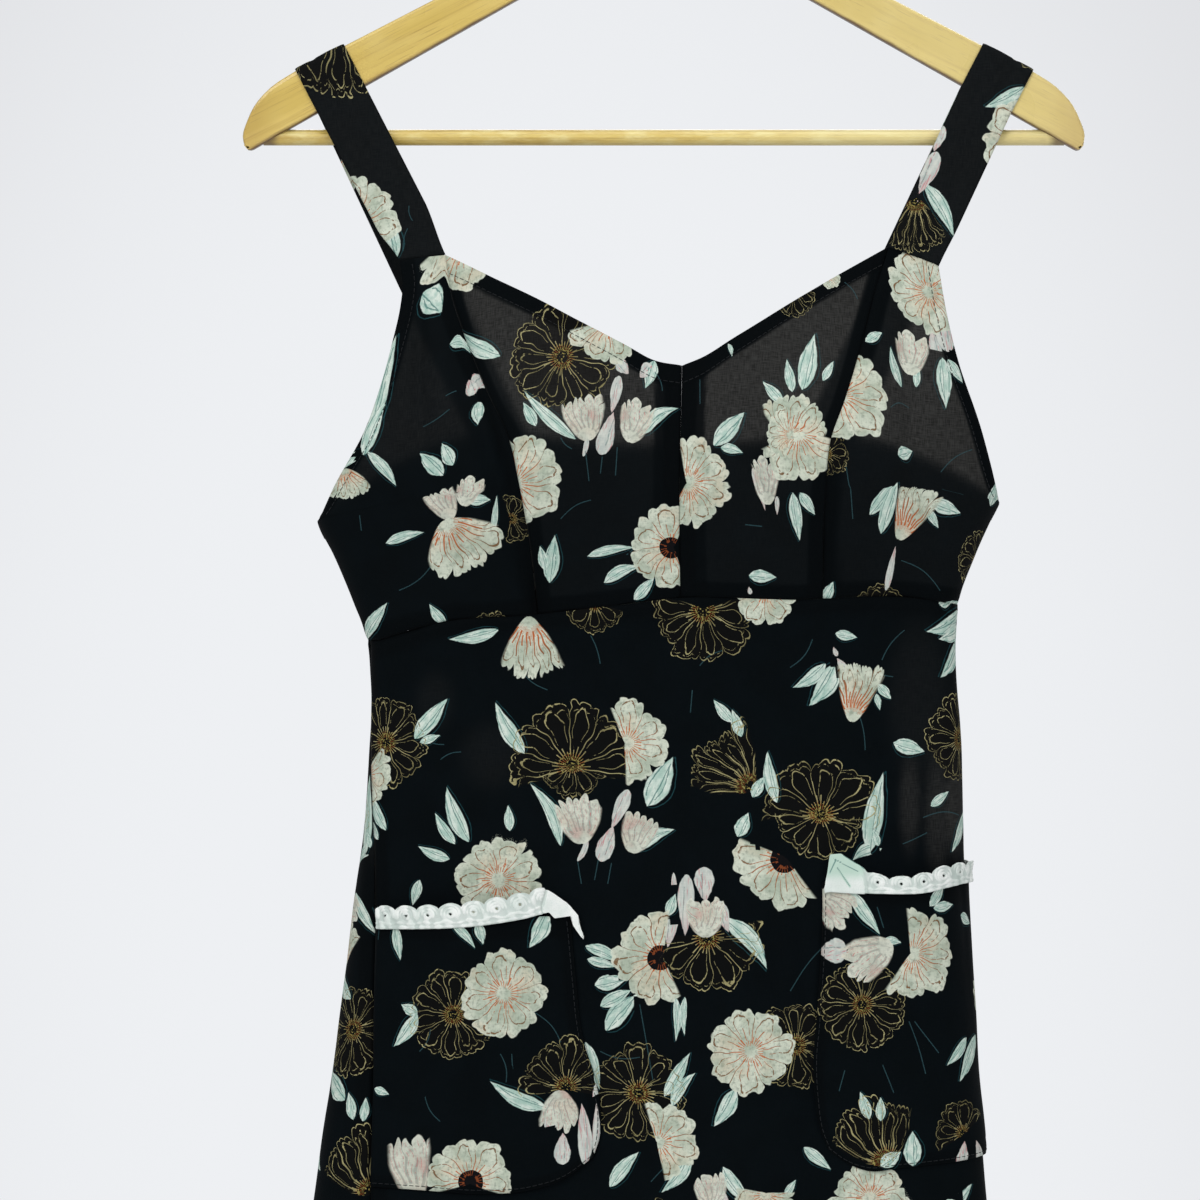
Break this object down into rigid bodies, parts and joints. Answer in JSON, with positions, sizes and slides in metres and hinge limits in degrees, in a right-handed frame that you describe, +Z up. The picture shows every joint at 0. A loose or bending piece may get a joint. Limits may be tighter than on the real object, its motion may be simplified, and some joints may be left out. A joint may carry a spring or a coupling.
{
  "type": "sundress on hanger",
  "caption": "Sleeveless knee-length sundress with a princess-seamed V-neck bodice, wide straps and lace-trimmed patch pockets, hanging on a wooden hanger.",
  "frame": {"origin": "inside top of the hanger's hook, where a rail bears", "axes": "+Z up along the hanger's middle line, +X to the right as seen from the front, -Y out of the dress's front"},
  "size_m": [0.4571, 0.1017, 1.1136],
  "materials": {
    "bodice_back": "matt printed cotton voile, blue-black ground",
    "bodice_centre_left": "matt printed cotton voile, blue-black ground",
    "bodice_centre_right": "matt printed cotton voile, blue-black ground",
    "bodice_side_left": "matt printed cotton voile, blue-black ground",
    "bodice_side_right": "matt printed cotton voile, blue-black ground",
    "hanger_arms": "clear satin lacquer on honey-coloured wood",
    "hanger_bar": "clear satin lacquer on honey-coloured wood",
    "hanger_hook": "bright plated steel wire",
    "pocket_left": "matt printed cotton voile, blue-black ground",
    "pocket_right": "matt printed cotton voile, blue-black ground",
    "pocket_trim_left": "matt white embroidered eyelet lace",
    "pocket_trim_right": "matt white embroidered eyelet lace",
    "skirt_back": "matt printed cotton voile, blue-black ground",
    "skirt_front": "matt printed cotton voile, blue-black ground",
    "strap_left": "matt printed cotton voile, blue-black ground",
    "strap_right": "matt printed cotton voile, blue-black ground"
  },
  "bodies": {
    "root": {"bodice_back": "bodice_back", "bodice_centre_left": "bodice_centre_left", "bodice_centre_right": "bodice_centre_right", "bodice_side_left": "bodice_side_left", "bodice_side_right": "bodice_side_right", "hanger_arms": "hanger_arms", "hanger_bar": "hanger_bar", "hanger_hook": "hanger_hook", "pocket_left": "pocket_left", "pocket_right": "pocket_right", "pocket_trim_left": "pocket_trim_left", "pocket_trim_right": "pocket_trim_right", "skirt_back": "skirt_back", "skirt_front": "skirt_front", "strap_left": "strap_left", "strap_right": "strap_right"}
  },
  "joints": []
}
